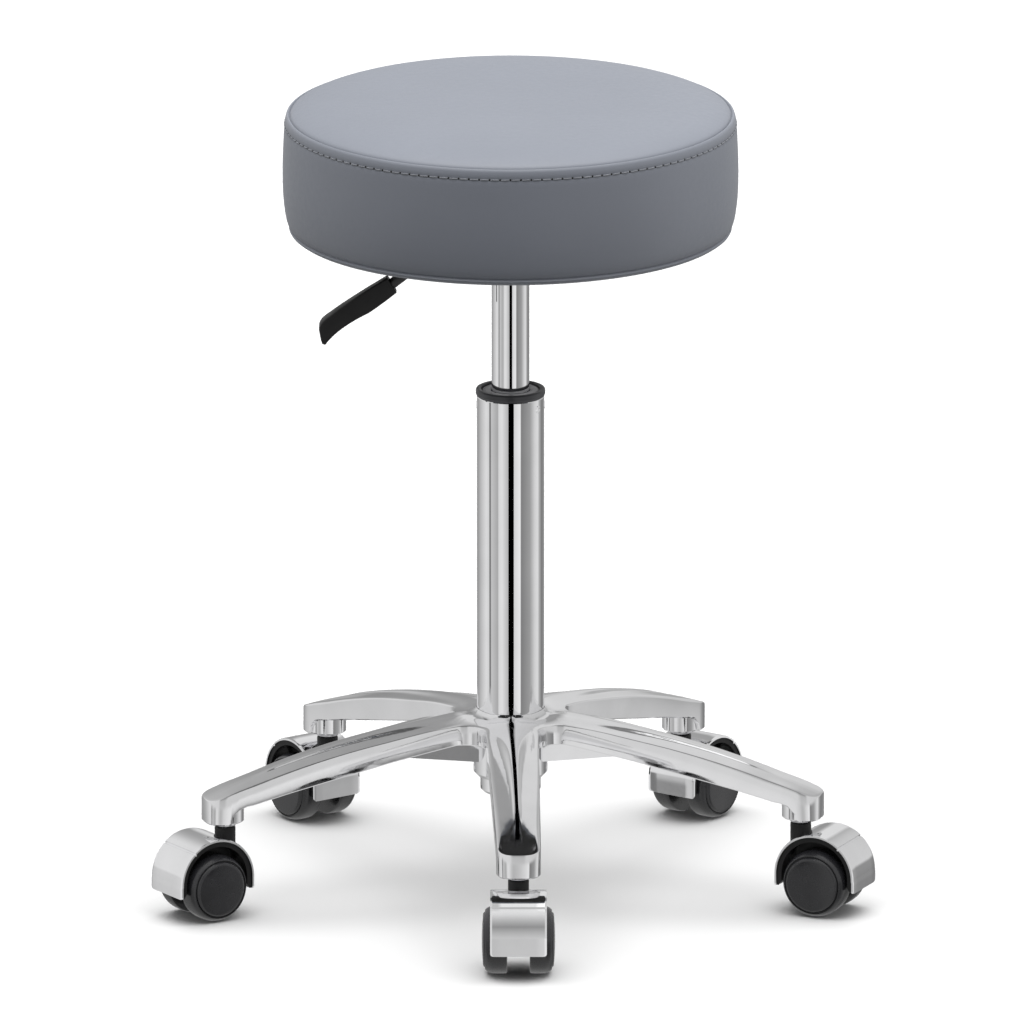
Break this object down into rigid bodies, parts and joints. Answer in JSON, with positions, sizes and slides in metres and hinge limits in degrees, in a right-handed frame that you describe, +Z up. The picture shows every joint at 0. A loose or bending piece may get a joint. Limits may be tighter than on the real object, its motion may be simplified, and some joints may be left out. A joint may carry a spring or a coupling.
{
  "type": "dentist stool",
  "caption": "Round height-adjustable work stool: padded grey seat with a lever, chromed gas spring column and polished star base on swivelling hooded casters.",
  "frame": {"origin": "on the floor, at the middle of the footprint's box; the column's axis is at x -2.3 mm, y 18.4 mm", "axes": "+Z up the column; +X to the right and -Y towards the viewer, with one arm of the base towards -Y and the lever towards -X"},
  "size_m": [0.536, 0.514, 0.6],
  "materials": {
    "polished_aluminium": "polished",
    "chrome": "polished",
    "zinc_steel": "satin",
    "black_steel": "satin",
    "black_plastic": "satin",
    "wheel_plastic": "matte",
    "bush_plastic": "satin",
    "brass": "satin",
    "buffer_rubber": "matte",
    "plywood": "matte",
    "foam": "matte",
    "grey_leather": "satin",
    "black_fabric": "matte"
  },
  "bodies": {
    "base": {"star_base": "polished_aluminium", "column_tube": "chrome", "column_collar": "black_plastic", "guide_bush": "bush_plastic", "thrust_washer_lower": "zinc_steel", "ball_cage": "brass", "caster_stem_1": "zinc_steel", "caster_stem_2": "zinc_steel", "caster_stem_3": "zinc_steel", "caster_stem_4": "zinc_steel", "caster_stem_5": "zinc_steel"},
    "spindle": {"thrust_washer_upper": "zinc_steel", "rubber_buffer": "buffer_rubber", "piston_rod": "chrome", "piston": "zinc_steel", "rod_clip": "zinc_steel"},
    "seat": {"pressure_tube": "chrome", "rod_guide": "black_plastic", "valve_body": "brass", "seat_plate": "black_steel", "mechanism_housing": "black_steel", "taper_socket": "black_steel", "lever_pivot_pin": "zinc_steel", "seat_bolt_1": "zinc_steel", "seat_bolt_2": "zinc_steel", "seat_bolt_3": "zinc_steel", "seat_bolt_4": "zinc_steel", "seat_board": "plywood", "foam_pad": "foam", "seat_cover": "grey_leather", "dust_cover": "black_fabric"},
    "lever": {"lever_rod": "black_steel", "lever_grip": "black_plastic"},
    "valve_pin": {"release_pin": "zinc_steel"},
    "caster_1": {"caster_1_housing": "black_plastic", "caster_1_hood": "chrome", "caster_1_axle": "zinc_steel"},
    "left_wheel_1": {"caster_1_wheel_left": "wheel_plastic"},
    "right_wheel_1": {"caster_1_wheel_right": "wheel_plastic"},
    "caster_2": {"caster_2_housing": "black_plastic", "caster_2_hood": "chrome", "caster_2_axle": "zinc_steel"},
    "left_wheel_2": {"caster_2_wheel_left": "wheel_plastic"},
    "right_wheel_2": {"caster_2_wheel_right": "wheel_plastic"},
    "caster_3": {"caster_3_housing": "black_plastic", "caster_3_hood": "chrome", "caster_3_axle": "zinc_steel"},
    "left_wheel_3": {"caster_3_wheel_left": "wheel_plastic"},
    "right_wheel_3": {"caster_3_wheel_right": "wheel_plastic"},
    "caster_4": {"caster_4_housing": "black_plastic", "caster_4_hood": "chrome", "caster_4_axle": "zinc_steel"},
    "left_wheel_4": {"caster_4_wheel_left": "wheel_plastic"},
    "right_wheel_4": {"caster_4_wheel_right": "wheel_plastic"},
    "caster_5": {"caster_5_housing": "black_plastic", "caster_5_hood": "chrome", "caster_5_axle": "zinc_steel"},
    "left_wheel_5": {"caster_5_wheel_left": "wheel_plastic"},
    "right_wheel_5": {"caster_5_wheel_right": "wheel_plastic"}
  },
  "joints": [
    {"name": "seat_swivel", "type": "hinge", "parent": "base", "child": "spindle", "pos_m": [-0.0023, 0.0184, 0.085], "axis": [0, 0, 1], "continuous": true},
    {"name": "height_slide", "type": "slide", "parent": "spindle", "child": "seat", "axis": [0, 0, 1], "range_m": [-0.08, 0.06]},
    {"name": "lever_tilt", "type": "hinge", "parent": "seat", "child": "lever", "pos_m": [-0.0323, 0.0184, 0.4889], "axis": [0, 1, 0], "range_deg": [0, 6], "stiffness_Nm_per_rad": 0.5, "springref_deg": -17.19},
    {"name": "valve_press", "type": "slide", "parent": "seat", "child": "valve_pin", "axis": [0, 0, 1], "range_m": [-0.004, 0]},
    {"name": "caster_1_swivel", "type": "hinge", "parent": "base", "child": "caster_1", "pos_m": [0.00356, -0.20552, 0.066], "axis": [0, 0, 1], "continuous": true},
    {"name": "wheel_1_left_roll", "type": "hinge", "parent": "caster_1", "child": "left_wheel_1", "pos_m": [0.00356, -0.22502, 0.025], "axis": [1, 0, 0], "continuous": true},
    {"name": "wheel_1_right_roll", "type": "hinge", "parent": "caster_1", "child": "right_wheel_1", "pos_m": [0.00356, -0.22502, 0.025], "axis": [1, 0, 0], "continuous": true},
    {"name": "caster_2_swivel", "type": "hinge", "parent": "base", "child": "caster_2", "pos_m": [0.21248, -0.04522, 0.066], "axis": [0, 0, 1], "continuous": true},
    {"name": "wheel_2_left_roll", "type": "hinge", "parent": "caster_2", "child": "left_wheel_2", "pos_m": [0.23029, -0.05315, 0.025], "axis": [0.4067, 0.9135, 0], "continuous": true},
    {"name": "wheel_2_right_roll", "type": "hinge", "parent": "caster_2", "child": "right_wheel_2", "pos_m": [0.23029, -0.05315, 0.025], "axis": [0.4067, 0.9135, 0], "continuous": true},
    {"name": "caster_3_swivel", "type": "hinge", "parent": "base", "child": "caster_3", "pos_m": [0.12458, 0.203, 0.066], "axis": [0, 0, 1], "continuous": true},
    {"name": "wheel_3_left_roll", "type": "hinge", "parent": "caster_3", "child": "left_wheel_3", "pos_m": [0.13604, 0.21878, 0.025], "axis": [-0.809, 0.5878, 0], "continuous": true},
    {"name": "wheel_3_right_roll", "type": "hinge", "parent": "caster_3", "child": "right_wheel_3", "pos_m": [0.13604, 0.21878, 0.025], "axis": [-0.809, 0.5878, 0], "continuous": true},
    {"name": "caster_4_swivel", "type": "hinge", "parent": "base", "child": "caster_4", "pos_m": [-0.13866, 0.19611, 0.066], "axis": [0, 0, 1], "continuous": true},
    {"name": "wheel_4_left_roll", "type": "hinge", "parent": "caster_4", "child": "left_wheel_4", "pos_m": [-0.15012, 0.21189, 0.025], "axis": [-0.809, -0.5878, 0], "continuous": true},
    {"name": "wheel_4_right_roll", "type": "hinge", "parent": "caster_4", "child": "right_wheel_4", "pos_m": [-0.15012, 0.21189, 0.025], "axis": [-0.809, -0.5878, 0], "continuous": true},
    {"name": "caster_5_swivel", "type": "hinge", "parent": "base", "child": "caster_5", "pos_m": [-0.21345, -0.05637, 0.066], "axis": [0, 0, 1], "continuous": true},
    {"name": "wheel_5_left_roll", "type": "hinge", "parent": "caster_5", "child": "left_wheel_5", "pos_m": [-0.22981, -0.06699, 0.025], "axis": [0.5446, -0.8387, 0], "continuous": true},
    {"name": "wheel_5_right_roll", "type": "hinge", "parent": "caster_5", "child": "right_wheel_5", "pos_m": [-0.22981, -0.06699, 0.025], "axis": [0.5446, -0.8387, 0], "continuous": true}
  ],
  "couplings": [
    {"joint": "valve_press", "follows": "lever_tilt", "m_per_rad": -0.0345}
  ]
}
